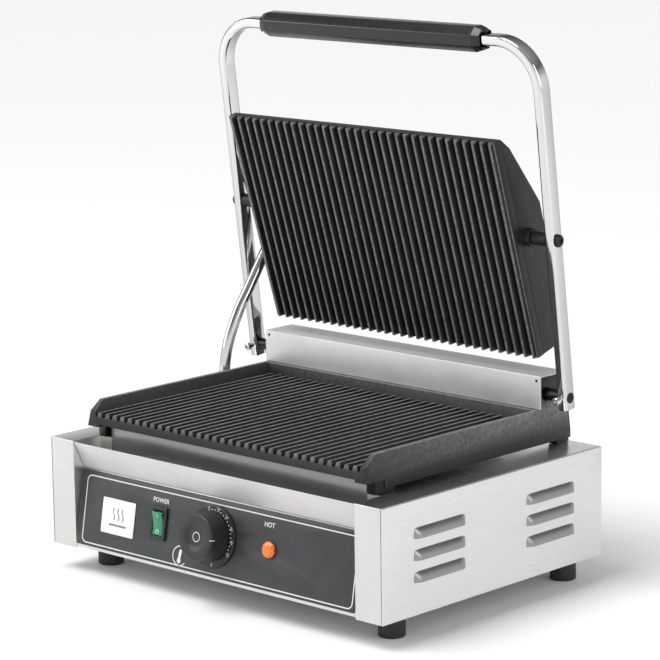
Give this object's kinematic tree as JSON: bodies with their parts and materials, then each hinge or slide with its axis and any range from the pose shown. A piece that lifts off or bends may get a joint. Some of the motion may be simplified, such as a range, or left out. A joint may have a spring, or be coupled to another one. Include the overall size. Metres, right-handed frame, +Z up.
{
  "type": "panini press",
  "caption": "Counter-top contact grill with ribbed cast-iron plates, a balanced tilting lid, stainless casing, drip tray and thermostat.",
  "frame": {"origin": "on the table, under the middle of the bounding box", "axes": "+Z up, the operator stands at -Y, +X to the operator's right; the rest pose is the open lid"},
  "size_m": [0.438, 0.3425, 0.526],
  "materials": {
    "casing_steel": "brushed stainless sheet",
    "zinc_sheet": "dull zinc plated",
    "overlay": "satin charcoal film with printed marks",
    "white_badge": "white, satin",
    "black_plastic": "moulded, semi-gloss",
    "black_grip": "moulded, polished facets",
    "plain_steel": "plain machined",
    "green_lens": "translucent green",
    "amber_lens": "translucent amber with a diamond pattern",
    "cast_iron": "seasoned matt black casting",
    "copper_tube": "bare copper",
    "ceramic_block": "unglazed steatite",
    "wire_sleeve": "woven glass sleeve",
    "chrome_bar": "bright chrome plate",
    "chrome_tube": "bright chrome plate",
    "rubber_foot": "matt black"
  },
  "bodies": {
    "base": {"body_shell": "casing_steel", "bottom_plate": "zinc_sheet", "rear_panel": "casing_steel", "front_panel": "casing_steel", "control_overlay": "overlay", "badge_plate": "white_badge", "dial_ring": "black_plastic", "thermostat_body": "zinc_sheet", "switch_body": "black_plastic", "lamp_body": "black_plastic", "lamp_lens": "amber_lens", "lower_plate": "cast_iron", "lower_element": "plain_steel", "lower_element_clamp": "zinc_sheet", "sensor_bulb": "copper_tube", "capillary_tube": "copper_tube", "terminal_block": "ceramic_block", "lead_to_switch": "wire_sleeve", "lead_to_thermostat": "wire_sleeve", "lead_to_lamp": "wire_sleeve", "lead_to_element": "wire_sleeve", "cord_gland": "black_plastic", "gland_nut": "black_plastic", "hinge_cover": "casing_steel", "balance_spring_left": "plain_steel", "balance_spring_right": "plain_steel", "lid_conduit": "chrome_tube", "conduit_ferrule": "chrome_tube", "foot_front_left": "rubber_foot", "plate_bolt_front_left": "zinc_sheet", "foot_front_right": "rubber_foot", "plate_bolt_front_right": "zinc_sheet", "foot_rear_left": "rubber_foot", "plate_bolt_rear_left": "zinc_sheet", "foot_rear_right": "rubber_foot", "plate_bolt_rear_right": "zinc_sheet", "rear_screw_left_low": "zinc_sheet", "rear_screw_left_high": "zinc_sheet", "rear_screw_right_low": "zinc_sheet", "rear_screw_right_high": "zinc_sheet"},
    "lid": {"hinge_shaft": "plain_steel", "handle_frame": "chrome_bar", "handle_grip": "black_grip", "set_screw_left": "chrome_bar", "set_screw_right": "chrome_bar", "pivot_bolt_left": "plain_steel", "pivot_bolt_right": "plain_steel", "pivot_spacer_left": "cast_iron", "pivot_spacer_right": "cast_iron"},
    "upper_grill": {"upper_plate": "cast_iron", "upper_hood": "cast_iron", "upper_element": "plain_steel", "upper_element_clamp": "zinc_sheet", "conduit_elbow": "zinc_sheet"},
    "knob": {"thermostat_knob": "black_plastic", "thermostat_spindle": "plain_steel"},
    "rocker": {"switch_rocker": "green_lens"},
    "tray": {"drip_tray": "casing_steel"}
  },
  "joints": [
    {"name": "lid_hinge", "type": "hinge", "parent": "base", "child": "lid", "pos_m": [0, 0.12107, 0.181], "axis": [1, 0, 0], "range_deg": [0, 83.96], "stiffness_Nm_per_rad": 2.75, "springref_deg": -83.08, "deforming": ["lid_conduit"]},
    {"name": "plate_tilt", "type": "hinge", "parent": "lid", "child": "upper_grill", "pos_m": [0, 0.10238, 0.33104], "axis": [1, 0, 0], "range_deg": [-11.2, 0.5]},
    {"name": "thermostat_turn", "type": "hinge", "parent": "base", "child": "knob", "pos_m": [0, -0.14256, 0.06678], "axis": [0, 0.9847, -0.1742], "range_deg": [-275, 32]},
    {"name": "rocker_press", "type": "hinge", "parent": "base", "child": "rocker", "pos_m": [-0.072, -0.14305, 0.06687], "axis": [-1, 0, 0], "range_deg": [0, 18]},
    {"name": "tray_slide", "type": "slide", "parent": "base", "child": "tray", "axis": [0, -1, 0], "range_m": [0, 0.06]}
  ],
  "couplings": [
    {"joint": "plate_tilt", "follows": "lid_hinge", "ratio": -0.13055}
  ]
}
